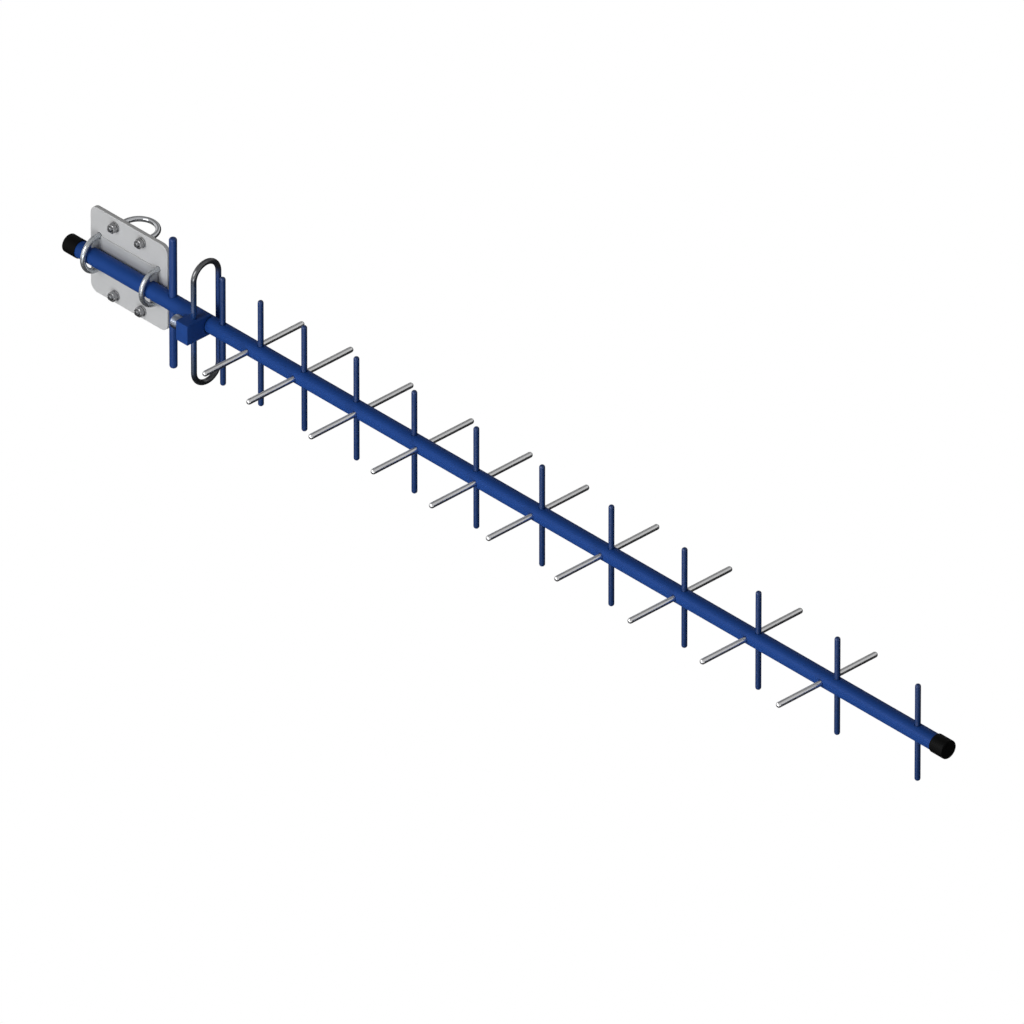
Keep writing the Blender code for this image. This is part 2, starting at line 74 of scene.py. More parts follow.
# Sizes that the frame's boxes don't give
GAP = 0.3 * MM              # between pieces that seat on each other
BOOM_WALL = 1.6 * MM
HOLE_EDGE = 0.25 * MM       # broken edge of each hole in the boom and the plate
HOLE_MARGIN = 1.5 * MM      # of boom either side of a hole, fanned out round it
ROD_EDGE = 2.9 * MM         # rounding of each rod's end, which makes it all but a dome
CAP_END = 1.8 * MM          # thickness of a cap's closed end
CAP_EDGE = 0.9 * MM
CAP_LIP = 0.3 * MM          # rounding of a cap's mouth
DIPOLE_R = 3.175 * MM
FEED_HALF_GAP = 4.0 * MM    # from the boom's level to each end of the dipole's rod
HOUSING_EDGE = 1.0 * MM
HOUSING_END_EDGE = 0.8 * MM
JACK_R = 7.94 * MM          # of the thread's crests
JACK_LENGTH = 14.0 * MM     # from the collar's back to the rim
JACK_SPIGOT_R = 5.0 * MM    # of the stub inside the housing
JACK_COLLAR = 3.0 * MM
JACK_RELIEF = 1.2 * MM      # length of the groove between the collar and the thread
JACK_RELIEF_DEPTH = 0.9 * MM
JACK_EDGE = 0.6 * MM
JACK_RIM_EDGE = 0.78 * MM   # outer chamfer, across the rim
COLLAR_ROUND = ((1.0, 0.0), (0.4, 0.15), (0.0, 0.6))    # across and down, in shares of JACK_EDGE
JACK_BORE_R = 4.1 * MM
JACK_BORE_DEPTH = 9.0 * MM
JACK_PITCH = 25.4 * MM / 24
INSULATOR_R = 3.5 * MM
CONTACT_R = 1.5 * MM
CONTACT_EDGE = 0.25 * MM
CONTACT_BORE_R = 0.85 * MM
CONTACT_BORE_DEPTH = 4.5 * MM
PLATE_CORNER = 10.0 * MM
PLATE_EDGE = 0.5 * MM
PLATE_BORDER = 0.8 * MM     # flat border inside each edge of the plate
SHEET = 1.2 * MM            # of the cradle
SHEET_EDGE = 1.0 * MM       # rounding of its outer edges, on the boom's side
SEAT = 0.02 * MM            # between the cradle and the plate that it is pressed on
CRADLE_BEND = 1.4 * MM
CRADLE_STEP = 0.01 * MM     # over which the cradle's height changes beside a bolt
BOLT_R = 3.0 * MM
BOLT_HOLE_R = 3.4 * MM
BOLT_PITCH = 1.0 * MM
BOOM_BOLT_THREAD = 14.0 * MM
MAST_BOLT_THREAD = 20.0 * MM
BOLT_CHAMFER = 0.7 * MM
THREAD_SHARE = 0.58         # depth of a thread for its pitch
THREAD_ROOT = 1.25          # how deep the flanks would meet, with the root cut flat at 1
THREAD_FLANK = 2.9          # slope of the flanks
NUT_FLATS = 10.0 * MM
NUT_FACE_R = 4.85 * MM      # of the flat ring on a nut's face
NUT_CORNER_R = 5.675 * MM   # to which its corners are turned down
NUT_CONE = 1.75             # slope of the chamfer
NUT_CHAMFER = 0.5 * MM      # depth that holds the chamfer
NUT_SINK = 0.35 * MM        # of the bore's mouth
WASHER_EDGE = 0.3 * MM

# Facets
WELD = 0.001 * MM           # points closer than this are one
SMOOTH_UNDER = math.radians(32)     # angle up to which faces are shaded as one
BOOM_SECTOR = 24            # round a quarter of the boom
WINDOW_STEPS = 10           # along the boom past a hole
HOLE_ROWS = 4
ROD_SIDES = 48
THREAD_SIDES = 36
NUT_SIDES = 96
JACK_SIDES = 72
THREAD_ROWS = 9             # to a pitch
LEG_ROWS = 5                # of a U-bolt's leg, past its thread
CHAMFER_ROWS = 9            # of a nut
SHEET_ROWS = 8              # up the cradle's sheet
WEB_STEPS = 3               # along the cradle's web, from its bend to its bolt
EDGE_STEPS = 6
DOME_STEPS = 9              # in a rod's rounded end
WASHER_STEPS = 4
CORNER_STEPS = 12           # in a quarter round of the plate or the cradle
BEND_STEPS = 48             # in a half circle of the dipole or a U-bolt
GROOVE_POINTS = 60          # round the housing's groove

# The photograph's view, which is in parallel projection
VIEW_ELEVATION = math.radians(33.11)
VIEW_TURN = math.radians(46.58)     # from the boom's direction to the picture's right
PIXELS_PER_METRE = 961.5
IMAGE_SIZE = 1024
REFLECTOR_PIXEL = (172.9, 302.3)    # where the reflector crosses the boom's axis
LENS = 1600.0                       # so long that the view is all but parallel
SENSOR = 36.0

# Studio
WHITE = (1.0, 1.0, 1.0, 1.0)
FLOOR_DROP = 1.15           # below the boom
FLOOR_HALF = 7.0
CARD_DROP = 0.60            # dark card under the boom
CARD_HALF = 2.0             # of that card and of the white strip
BACK_CARD_HALF = 3.0        # upright dark card behind the boom
BACK_CARD_AWAY = 1.0
BACK_CARD_TOP = 0.34
STRIP_AWAY = 0.60           # white strip in front of the boom
STRIP_DROPS = (0.30, 0.46)
AMBIENT = 0.12
CEILING_SHADE = 0.35        # how much darker metal sees the world overhead
CEILING_EDGE = (0.0, 0.7)   # sines of the elevations at which that starts and is full
PATCH_WAY = (-0.50, 0.35, 0.80)     # middle of a still darker patch overhead, which metal sees
PATCH_EDGE = (0.80, 0.92)   # cosines of the angles at which it starts and is full
PATCH_SHADE = 0.62


class Skin:
    """A closed surface, gathered from grids of points, flat rings and filled outlines."""

    def __init__(self):
        self.points = []
        self.faces = []
        self.count = 0

    def take(self, points):
        """Keep points (n, 3) and return the number of the first."""
        first = self.count
        self.points.append(points)
        self.count += len(points)
        return first

    def grid(self, rows, around=False):
        """Quads over an array (rows, columns, 3); around joins the last column to the first."""
        height, width = rows.shape[:2]
        index = np.arange(height * width).reshape(height, width) + self.take(rows.reshape(-1, 3))
        if around:
            index = np.hstack([index, index[:, :1]])
        quads = np.stack([index[:-1, :-1], index[:-1, 1:], index[1:, 1:], index[1:, :-1]], axis=-1)
        self.faces += quads.reshape(-1, 4).tolist()
        return self

    def flat(self, ring):
        """One flat face over a ring of points."""
        first = self.take(ring)
        self.faces.append(list(range(first, first + len(ring))))
        return self

    def filled(self, rings):
        """Triangles over the flat face inside the first ring and outside the others."""
        points = np.concatenate(rings)
        index = np.split(np.arange(len(points)), np.cumsum([len(ring) for ring in rings])[:-1])
        edges = np.concatenate([np.column_stack([ring, np.roll(ring, -1)]) for ring in index])
        outline = bpy.data.meshes.new("outline")
        outline.from_pydata(points.tolist(), edges.tolist(), [])
        shell = bmesh.new()
        shell.from_mesh(outline)
        bmesh.ops.triangle_fill(shell, use_beauty=True, use_dissolve=False, edges=shell.edges)
        shell.to_mesh(outline)
        shell.free()
        corners = np.empty(len(outline.loops), np.int32)
        outline.loops.foreach_get("vertex_index", corners)
        self.faces += (self.take(points) + corners.reshape(-1, 3)).tolist()
        bpy.data.meshes.remove(outline)
        return self

    def mesh(self, node):
        """The node's mesh: points that meet are joined, and faces turned out and shaded smooth."""
        made = bpy.data.meshes.new(node + "_finished")
        made.from_pydata(np.concatenate(self.points).tolist(), [], self.faces)
        shell = bmesh.new()
        shell.from_mesh(made)
        bmesh.ops.remove_doubles(shell, verts=shell.verts, dist=WELD)
        bmesh.ops.recalc_face_normals(shell, faces=shell.faces)
        shell.to_mesh(made)
        shell.free()
        made.shade_smooth()
        made.set_sharp_from_angle(angle=SMOOTH_UNDER)
        return made


def angles(steps):
    return np.arange(steps) * TURN / steps


def spun(radius, height, centre, axis):
    """Surface of revolution: point = centre + height * axis + radius * ring(angle).

    Radius is (rows,) or, where it changes round the axis too, (rows, sides)."""
    radius = np.asarray(radius, float)
    if radius.ndim == 1:
        radius = np.repeat(radius[:, None], ROD_SIDES, axis=1)
    turn = angles(radius.shape[1])
    along = np.asarray(axis, float)
    side = np.array([0.0, 0.0, 1.0]) if abs(along[2]) < 0.5 else np.array([1.0, 0.0, 0.0])
    ring = np.cos(turn)[:, None] * side + np.sin(turn)[:, None] * np.cross(along, side)
    lift = np.asarray(height, float)[:, None, None] * along
    return np.asarray(centre, float) + lift + radius[:, :, None] * ring


def turned(node, radius, height, centre, axis):
    """A turned piece's mesh, from its profile's radii and heights."""
    return Skin().grid(spun(radius, height, centre, axis), around=True).mesh(node)


def capped(node, rows):
    """The mesh over rings of points, with a flat face over the first and the last."""
    return Skin().grid(rows, around=True).flat(rows[0]).flat(rows[-1]).mesh(node)


def swept(node, path, radius, across):
    """A rod's mesh along a flat path: point = path + radius (cos a * across + sin a * normal)."""
    tangent = np.gradient(path, axis=0)
    tangent /= np.linalg.norm(tangent, axis=1)[:, None]
    normal = np.cross(tangent, across)
    turn = angles(radius.shape[1])[None, :, None]
    ring = np.cos(turn) * np.asarray(across, float) + np.sin(turn) * normal[:, None, :]
    return capped(node, path[:, None, :] + radius[:, :, None] * ring)


def fillet(centre, radius, start, sweep, steps=EDGE_STEPS):
    """Points (steps + 1, 2) on an arc, centre + radius (cos a, sin a), with angles in degrees."""
    turn = np.radians(start + sweep * np.linspace(0, 1, steps + 1))
    return np.stack([centre[0] + radius * np.cos(turn), centre[1] + radius * np.sin(turn)], axis=1)


def square_to(tangent):
    """Unit vectors (n, 2) at right angles to a flat line's tangents (n, 2)."""
    unit = tangent / np.linalg.norm(tangent, axis=1)[:, None]
    return np.column_stack([-unit[:, 1], unit[:, 0]])


def thread(height, turn, pitch):
    """Depth of a single-start thread, 0 at the crest and 1 at the root.

    The helix is phase = height / pitch - angle / turn, and each flank is straight."""
    phase = (height / pitch - turn / TURN) % 1.0
    return np.clip(THREAD_ROOT - THREAD_FLANK * np.abs(phase - 0.5), 0.0, 1.0)


def ramp(value, start, end):
    """0 before start, 1 after end and a smooth step between."""
    share = np.clip((value - start) / (end - start), 0.0, 1.0)
    return share * share * (3 - 2 * share)


def middle(node):
    low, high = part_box(node)
    return (low + high) / 2


def size(node):
    low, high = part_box(node)
    return high - low


def wear(mesh, node, finish):
    """The piece that stands for a CAD node, in its place and on its body."""
    piece = bpy.data.objects.new(mesh.name, mesh)
    bpy.context.scene.collection.objects.link(piece)
    mesh.materials.append(finish.material)
    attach(piece, "root")
    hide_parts(node)


class Socket:
    """An output of a node, whose arithmetic adds Math nodes."""

    def __init__(self, graph, link):
        self.graph = graph
        self.link = link

    def math(self, operation, first, second=0.0):
        return self.graph.node("ShaderNodeMath", {"operation": operation}, {0: first, 1: second})

    def __add__(self, other):
        return self.math("ADD", self, other)

    def __radd__(self, other):
        return self.math("ADD", other, self)

    def __rsub__(self, other):
        return self.math("SUBTRACT", other, self)

    def __mul__(self, other):
        return self.math("MULTIPLY", self, other)

    def __rmul__(self, other):
        return self.math("MULTIPLY", other, self)

    def __abs__(self):
        return self.math("ABSOLUTE", self)

    def within(self, low, high):
        """0 at low or below, 1 at high or above, and a smooth step between."""
        limits = {"Value": self, "From Min": low, "From Max": high}
        return self.graph.node("ShaderNodeMapRange", {"interpolation_type": "SMOOTHSTEP"}, limits)


def larger(first, second):
    return first.math("MAXIMUM", first, second)


class Graph:
    """A tree of shader nodes."""

    def __init__(self, tree):
        self.tree = tree

    def node(self, kind, settings=(), sockets=(), output=0):
        """Add a node: its settings first, then the values or links of its sockets."""
        made = self.tree.nodes.new(kind)
        for label, value in dict(settings).items():
            setattr(made, label, value)
        for label, value in dict(sockets).items():
            if isinstance(value, Socket):
                self.tree.links.new(value.link, made.inputs[label])
            else:
                made.inputs[label].default_value = value
        return Socket(self, made.outputs[output])

    def part(self, vector, axis):
        return self.node("ShaderNodeSeparateXYZ", {}, {"Vector": vector}, axis)

    def ray(self, kind):
        """1 for rays of a kind, such as Camera or Glossy."""
        return self.node("ShaderNodeLightPath", output=f"Is {kind} Ray")


class Finish(Graph):
    """A procedural material on Object coordinates, round one Principled BSDF."""

    def __init__(self, name, colour, **surface):
        self.material = bpy.data.materials.new(name)
        self.material.use_nodes = True
        super().__init__(self.material.node_tree)
        self.shader = self.tree.nodes["Principled BSDF"]
        self.shader.inputs["Base Color"].default_value = (*colour, 1.0)
        for label, value in surface.items():
            self.shader.inputs[label.replace("_", " ")].default_value = value
        self.colour = colour
        self.place = self.node("ShaderNodeTexCoord", output="Object")

    def set(self, label, value):
        """Link a socket to an input of the shader."""
        self.tree.links.new(value.link, self.shader.inputs[label])

    def noise(self, scale, stretch=(1.0, 1.0, 1.0), detail=2.0, shift=0.0):
        """Noise from 0 to 1, drawn out where the stretch is small."""
        spread = self.node("ShaderNodeMapping", {}, {
            "Vector": self.place, "Location": (shift, shift, shift), "Scale": stretch})
        return self.node("ShaderNodeTexNoise", {}, {
            "Vector": spread, "Scale": scale, "Detail": detail, "Roughness": 0.55})

    def shade(self, factor, dark, light):
        """Base colour between two multiples of the finish's own."""
        ends = [(*(channel * share for channel in self.colour), 1.0) for share in (dark, light)]
        return self.blend(factor, *ends)

    def blend(self, factor, first, second):
        return self.node("ShaderNodeMix", {"data_type": "RGBA"}, {0: factor, 6: first, 7: second}, 2)

    def bump(self, height, distance, strength):
        """Relief of the given depth, in metres."""
        self.set("Normal", self.node("ShaderNodeBump", {}, {
            "Height": height, "Distance": distance, "Strength": strength}))


BOOM_Y = middle("boom").y
PLATE_FACE_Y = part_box("mounting_plate")[0].y
MAST_SHADED_TIPS = (PLATE_FACE_Y - 0.5 * MM, PLATE_FACE_Y)     # where the mast bolts' dull tips end; the tips are painted darker, as painted shade
LEG_SPLIT = (BOOM_Y - 2 * MM, BOOM_Y + 2 * MM)          # from the dipole's near leg to its far one
TURNS_BLACK = (48 * MM, 64 * MM)      # heights over which the dipole's colour turns black
NEAR_BLUE_FADES = (16 * MM, 46 * MM)         # heights over which its near leg's blue fades
LINE_DEPTH = 0.02 * MM
PIT_DEPTH = 0.04 * MM
GRAIN_DEPTH = 0.01 * MM
DRAWN = 0.012               # stretch of noise along the metal, which draws it out to lines
ALONG = {"x": (DRAWN, 1.0, 1.0), "y": (1.0, DRAWN, 1.0), "z": (1.0, 1.0, DRAWN)}


def blue_anodised(name, way, colour, gloss, roughness):
    """Satin blue on drawn aluminium: faint lines along the metal and a slight drift of tone."""
    made = Finish(name, colour, Metallic=0.07, Specular_IOR_Level=gloss)
    lines = made.noise(1400, ALONG[way], detail=3.0)
    drift = made.noise(22, shift=0.37)
    made.set("Base Color", made.shade(0.35 * lines + 0.65 * drift, 0.84, 1.16))
    made.set("Roughness", (roughness - 0.05) + 0.10 * lines)
    made.bump(lines, LINE_DEPTH, 0.5)
    return made


def bright_drawn():
    """Bare drawn rod: lines along it, in tone and gloss."""
    made = Finish("bright_drawn_rod", (0.74, 0.74, 0.745), Metallic=1.0)
    lines = made.noise(1600, ALONG["y"], detail=4.0)
    drift = made.noise(30, shift=0.11)
    made.set("Base Color", made.shade(0.7 * lines + 0.3 * drift, 0.72, 1.18))
    made.set("Roughness", 0.16 + 0.12 * lines)
    made.bump(lines, LINE_DEPTH, 0.6)
    return made


def dark_coated():
    """Glossy and dark under a clear coat: black round the bends, bluer down the legs, the far leg most
    and the near leg towards the boom.
    """
    made = Finish("dark_coated_rod", (0.013, 0.015, 0.020),
                  Specular_IOR_Level=1.0, Coat_Roughness=0.16)
    height = abs(made.part(made.place, "Z"))
    far = made.part(made.place, "Y").within(*LEG_SPLIT)
    leg = 1.0 - height.within(*TURNS_BLACK)
    drift = made.noise(40, shift=0.5)
    black = made.shade(drift, 0.8, 1.25)
    near_blue = made.blend(height.within(*NEAR_BLUE_FADES), (0.007, 0.052, 0.200, 1.0),
                           (0.010, 0.034, 0.085, 1.0))
    blue = made.blend(far, near_blue, (0.011, 0.050, 0.210, 1.0))
    made.set("Base Color", made.blend(leg, black, blue))
    made.set("Metallic", 0.2 + 0.5 * (far * leg))
    made.set("Coat Weight", 1.0 - 0.9 * far)
    made.set("Roughness", 0.18 + 0.10 * drift + 0.20 * far)
    return made


def moulded(name, colour, gloss, roughness, grain):
    """Moulded plastic with a fine spark-eroded grain."""
    made = Finish(name, colour, Specular_IOR_Level=gloss)
    pits = made.noise(grain, detail=3.0)
    drift = made.noise(35, shift=0.2)
    made.set("Base Color", made.shade(0.5 * pits + 0.5 * drift, 0.85, 1.15))
    made.set("Roughness", (roughness - 0.05) + 0.10 * pits)
    made.bump(pits, PIT_DEPTH, 0.5)
    return made


def plated(name, colour, roughness):
    """Bright plating with slight handling marks, in tone and gloss."""
    made = Finish(name, colour, Metallic=1.0)
    marks = made.noise(260, detail=4.0)
    made.set("Base Color", made.shade(marks, 0.9, 1.08))
    made.set("Roughness", (roughness - 0.04) + 0.10 * marks)
    return made


def satin_sheet(name, colour):
    """Satin aluminium sheet: rolling lines along it and a cloudy surface."""
    made = Finish(name, colour, Metallic=0.1)
    lines = made.noise(900, ALONG["x"], detail=3.0)
    clouds = made.noise(28, detail=4.0, shift=0.6)
    made.set("Base Color", made.shade(0.4 * lines + 0.6 * clouds, 0.92, 1.08))
    made.set("Roughness", 0.42 + 0.10 * lines + 0.08 * clouds)
    made.bump(lines, LINE_DEPTH, 0.4)
    return made


def stainless(name, colour, metallic, roughness, tips=None):
    """Stainless steel of the bolts, nuts and washers, with duller threads at the tips that are painted
    darker, as painted shade.

    Tips is the pair of places along Y between which the finish turns from the threads' to its own."""
    made = Finish(name, colour, Metallic=metallic)
    grain = made.noise(1200, detail=3.0)
    drift = made.noise(60, shift=0.3)
    tone = made.shade(0.5 * grain + 0.5 * drift, 0.85, 1.15)
    gloss = (roughness - 0.06) + 0.14 * grain
    if tips:
        # Painted shade: the threads at the tips are painted darker than the steel. They are also made
        # rougher.
        shaded_threads = 1.0 - made.part(made.place, "Y").within(*tips)
        tone = made.blend(shaded_threads, tone, made.shade(grain, 0.22, 0.40))
        gloss = gloss + 0.24 * shaded_threads
    made.set("Base Color", tone)
    made.set("Roughness", gloss)
    made.bump(grain, GRAIN_DEPTH, 0.5)
    return made


def turned_bead():
    """White turned plastic, slightly mottled in tone and gloss."""
    made = Finish("white_bead", (0.82, 0.82, 0.80))
    mottle = made.noise(900)
    made.set("Base Color", made.shade(mottle, 0.95, 1.02))
    made.set("Roughness", 0.42 + 0.15 * mottle)
    return made


BOOM_FINISH = blue_anodised("blue_anodised_boom", "x", (0.0132, 0.059, 0.258), 0.10, 0.42)
REFLECTOR_FINISH = blue_anodised("blue_anodised_reflector", "z", (0.0120, 0.054, 0.230), 0.40, 0.34)
DIRECTOR_FINISH = blue_anodised("blue_anodised_directors", "z", (0.0075, 0.038, 0.155), 0.50, 0.32)
CROSS_FINISH = bright_drawn()
DIPOLE_FINISH = dark_coated()
HOUSING_FINISH = moulded("blue_moulding", (0.013, 0.058, 0.250), 0.12, 0.45, 2600)
CAP_FINISH = moulded("black_moulding", (0.003, 0.003, 0.003), 0.05, 0.5, 2200)
JACK_FINISH = plated("nickel_plate", (0.40, 0.43, 0.49), 0.28)
BEAD_FINISH = turned_bead()
CONTACT_FINISH = plated("gold_plate", (0.80, 0.58, 0.22), 0.25)
PLATE_FINISH = satin_sheet("satin_plate", (0.60, 0.60, 0.60))
# Painted shade: the channel's sheet is darker than the plate's same sheet, matched to the darker band
# that the plate shows above the boom.
CRADLE_SHADED_FINISH = satin_sheet("satin_channel_painted_shade", (0.48, 0.485, 0.49))
BOOM_BOLT_FINISH = stainless("satin_stainless", (0.46, 0.48, 0.50), 0.80, 0.26)
MAST_BOLT_FINISH = stainless("bright_stainless", (0.56, 0.57, 0.59), 1.0, 0.12, MAST_SHADED_TIPS)
NUT_FINISH = stainless("dull_stainless", (0.33, 0.33, 0.335), 0.85, 0.30)


UPRIGHTS = ["reflector"] + sorted(n for n in frame["nodes"] if n.startswith("director_"))
CROSS_RODS = sorted(n for n in frame["nodes"] if n.startswith("cross_rod_"))
BOOM_LOW, BOOM_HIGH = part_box("boom")
BOOM_R = (BOOM_HIGH.z - BOOM_LOW.z) / 2
BOOM_BORE_R = BOOM_R - BOOM_WALL
HEADINGS = [quarter * TURN / 4 for quarter in range(4)]     # +Y, up, -Y and down


def rolled(radius, x, turn):
    """Points on a tube round the boom's axis, (x, boom + radius cos a, radius sin a)."""
    return np.stack(np.broadcast_arrays(x, BOOM_Y + radius * np.cos(turn), radius * np.sin(turn)),
                    axis=-1)


def quarter_turns(heading):
    """Angles over the quarter of the boom about a heading."""
    return heading + np.linspace(-TURN / 8, TURN / 8, BOOM_SECTOR + 1)


def boom_holes():
    """Each hole's place along the boom, its radius and the headings that it opens to."""
    rows = []
    for names, headings in ((UPRIGHTS, HEADINGS[1::2]), (CROSS_RODS, HEADINGS[0::2])):
        rows += [(middle(n).x, size(n).x / 2 + GAP, headings) for n in names]
    return sorted(rows)


def boom_windows():
    """Stretches of the boom that have holes: (start, end, holes), merged where they overlap."""
    found = []
    for hole in boom_holes():
        x, radius, _ = hole
        start, end = x - radius - HOLE_MARGIN, x + radius + HOLE_MARGIN
        holes = [hole]
        if found and start < found[-1][1]:
            start, last_end, last_holes = found.pop()
            end = max(end, last_end)
            holes = last_holes + holes
        found.append((start, end, holes))
    return found


def window_edge(start, end, heading):
    """Points (x, angle) round a quarter of the tube, from start to end, in even steps."""
    xs = np.linspace(start, end, WINDOW_STEPS + 1)
    turns = quarter_turns(heading)
    x = np.concatenate([xs[:-1], np.full(BOOM_SECTOR, end), xs[:0:-1], np.full(BOOM_SECTOR, start)])
    turn = np.concatenate([np.full(WINDOW_STEPS, turns[0]), turns[:-1],
                           np.full(WINDOW_STEPS, turns[-1]), turns[:0:-1]])
    return x, turn


def holed_quarter(skin, start, end, heading, hole):
    """A quarter of the boom's wall with a drilled hole, outside and inside.

    A drill of radius d, at right angles to the boom, leaves this rim on a tube of radius r, with
    a the angle round the drill: x = centre + d cos a, angle = heading + asin(d sin a / r)."""
    x, radius, _ = hole
    broken = radius + HOLE_EDGE
    edge_x, edge_turn = window_edge(start, end, heading)
    share = np.linspace(0, 1, HOLE_ROWS + 1)[:, None]

    def rim(reach, cut, facing):
        """The rim's points that face those of the window's edge, on a tube of radius facing."""
        around = np.arctan2(facing * (edge_turn - heading), edge_x - x)
        return x + cut * np.cos(around), heading + np.arcsin(cut * np.sin(around) / reach)

    for reach, cut in ((BOOM_R, broken), (BOOM_BORE_R, radius)):
        rim_x, rim_turn = rim(reach, cut, reach)
        skin.grid(rolled(reach, rim_x + share * (edge_x - rim_x),
                         rim_turn + share * (edge_turn - rim_turn)), around=True)
    section = ((BOOM_R, broken, BOOM_R), (BOOM_R - HOLE_EDGE, radius, BOOM_R),
               (BOOM_BORE_R, radius, BOOM_BORE_R))
    skin.grid(np.stack([rolled(reach, *rim(reach, cut, facing)) for reach, cut, facing in section]),
              around=True)


def boom_tube():
    """The tube as quarters of its wall: plain between holes, and fanned out round each hole."""
    skin = Skin()
    all_round = -TURN / 8 + np.linspace(0, TURN, 4 * BOOM_SECTOR + 1)

    def plain(xs, turns):
        for reach in (BOOM_R, BOOM_BORE_R):
            skin.grid(rolled(reach, np.reshape(xs, (-1, 1)), turns))

    at = BOOM_LOW.x
    for start, end, holes in boom_windows():
        plain([at, start], all_round)
        for heading in HEADINGS:
            inside = [hole for hole in holes if heading in hole[2]]
            if inside:
                holed_quarter(skin, start, end, heading, inside[0])
            else:
                plain(np.linspace(start, end, WINDOW_STEPS + 1), quarter_turns(heading))
        at = end
    plain([at, BOOM_HIGH.x], all_round)
    for x in (BOOM_LOW.x, BOOM_HIGH.x):
        skin.grid(rolled(np.array([[BOOM_R], [BOOM_BORE_R]]), x, all_round))
    return skin.mesh("boom")


def rod(node, length, axis):
    """A rod with rounded ends: the profile runs from one end's middle to the other's."""
    radius = size(node).x / 2
    half = length / 2
    top = fillet((radius - ROD_EDGE, half - ROD_EDGE), ROD_EDGE, 90, -90, DOME_STEPS)
    profile = np.concatenate([[(0, half), ((radius - ROD_EDGE) / 2, half)], top])
    profile = np.concatenate([profile, profile[::-1] * (1, -1)])
    return turned(node, *profile.T, middle(node), axis)


def end_cap(node, way):
    """A push-on cup: rounded closed end, a wall and a rounded lip round its mouth."""
    outer = size(node).z / 2
    length = size(node).x
    bore = BOOM_R + GAP
    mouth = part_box(node)[0 if way > 0 else 1].x
    profile = np.concatenate([
        [(0, length), (outer - 2 * CAP_EDGE, length)],
        fillet((outer - CAP_EDGE, length - CAP_EDGE), CAP_EDGE, 90, -90),
        fillet((outer - CAP_LIP, CAP_LIP), CAP_LIP, 0, -90),
        fillet((bore + CAP_LIP, CAP_LIP), CAP_LIP, 270, -90),
        [(bore, length - CAP_END), (0, length - CAP_END)],
    ])
    return turned(node, *profile.T, (mouth, BOOM_Y, 0), (way, 0, 0))


def dipole_loop():
    """One rod: leg, half circle, leg, half circle and leg, open at the feed gap."""
    low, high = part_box("folded_dipole")
    bend = (high.y - low.y) / 2 - DIPOLE_R
    y = (low.y + high.y) / 2
    top = high.z - DIPOLE_R - bend
    over = fillet((y, top), bend, 180, -180, BEND_STEPS)
    under = fillet((y, -top), bend, 0, -180, BEND_STEPS)
    flat = np.concatenate([[(y - bend, FEED_HALF_GAP)], over, under, [(y - bend, -FEED_HALF_GAP)]])
    path = np.column_stack([np.full(len(flat), middle("folded_dipole").x), flat])
    return swept("folded_dipole", path, np.full((len(path), ROD_SIDES), DIPOLE_R), (1, 0, 0))


def u_bolt(node, thread_length):
    """A bent rod with a thread cut into both legs and a chamfer at their tips.

    Along the rod, radius = full radius - thread depth where it is threaded."""
    low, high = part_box(node)
    round_boom = high.z - low.z > high.x - low.x
    legs_apart = high.z - low.z if round_boom else high.x - low.x
    half = legs_apart / 2 - BOLT_R
    way = 1 if round_boom else -1
    tip = high.y if round_boom else low.y
    leg = high.y - low.y - BOLT_R - half
    fine = np.arange(0, thread_length, BOLT_PITCH / THREAD_ROWS)
    down = np.concatenate([fine, np.linspace(thread_length, leg, LEG_ROWS)])
    first = np.column_stack([np.full(len(down), half), down])
    bow = fillet((0, leg), half, 0, 180, BEND_STEPS)[1:-1]
    flat = np.concatenate([first, bow, first[::-1] * (-1, 1)])
    aside, y = flat[:, 0], tip - way * flat[:, 1]
    centre = middle(node)
    if round_boom:
        path, across = np.column_stack([np.full(len(y), centre.x), y, aside]), (1, 0, 0)
    else:
        path, across = np.column_stack([aside, y, np.full(len(y), centre.z)]), (0, 0, 1)
    run = np.concatenate([[0], np.cumsum(np.linalg.norm(np.diff(path, axis=0), axis=1))])
    from_tip = np.minimum(run, run[-1] - run)[:, None]
    cut = thread(run[:, None], angles(THREAD_SIDES)[None, :], BOLT_PITCH)
    cut = cut * (1 - ramp(from_tip, thread_length - 2 * BOLT_PITCH, thread_length))
    radius = BOLT_R - THREAD_SHARE * BOLT_PITCH * cut
    radius = np.minimum(radius, BOLT_R - BOLT_CHAMFER + from_tip)
    return swept(node, path, radius, across)


def hex_nut(node):
    """A chamfered hexagon: radius = the least of the hexagon's, its corners' and the cone's."""
    half = size(node).y / 2
    bore = BOLT_R + GAP
    turn = angles(NUT_SIDES)[None, :]
    flats = NUT_FLATS / 2 / np.cos((turn + TURN / 12) % (TURN / 6) - TURN / 12)
    flats = np.minimum(flats, NUT_CORNER_R)
    depth = np.concatenate([np.linspace(0, NUT_CHAMFER, CHAMFER_ROWS), [half]])
    height = np.concatenate([half - depth, (half - depth)[::-1] * -1])
    cone = NUT_FACE_R + NUT_CONE * (half - np.abs(height))
    outside = np.minimum(flats, cone[:, None])
    inside = np.full((1, NUT_SIDES), bore)
    mouth = inside + NUT_SINK
    radius = np.concatenate([inside, mouth, outside, mouth, inside, inside])
    height = np.concatenate([[half - NUT_SINK, half], height, [-half, NUT_SINK - half, half - NUT_SINK]])
    return turned(node, radius, height, middle(node), (0, 1, 0))


def washer(node):
    """A flat ring with rounded edges outside and a punched bore."""
    outer = size(node).x / 2
    half = size(node).y / 2
    bore = BOLT_R + GAP
    edge = WASHER_EDGE
    profile = np.concatenate([
        [(bore, half), (outer - 2 * edge, half)],
        fillet((outer - edge, half - edge), edge, 90, -90, WASHER_STEPS),
        fillet((outer - edge, edge - half), edge, 0, -90, WASHER_STEPS),
        [(outer - 2 * edge, -half), (bore, -half), (bore, half)],
    ])
    return turned(node, *profile.T, middle(node), (0, 1, 0))


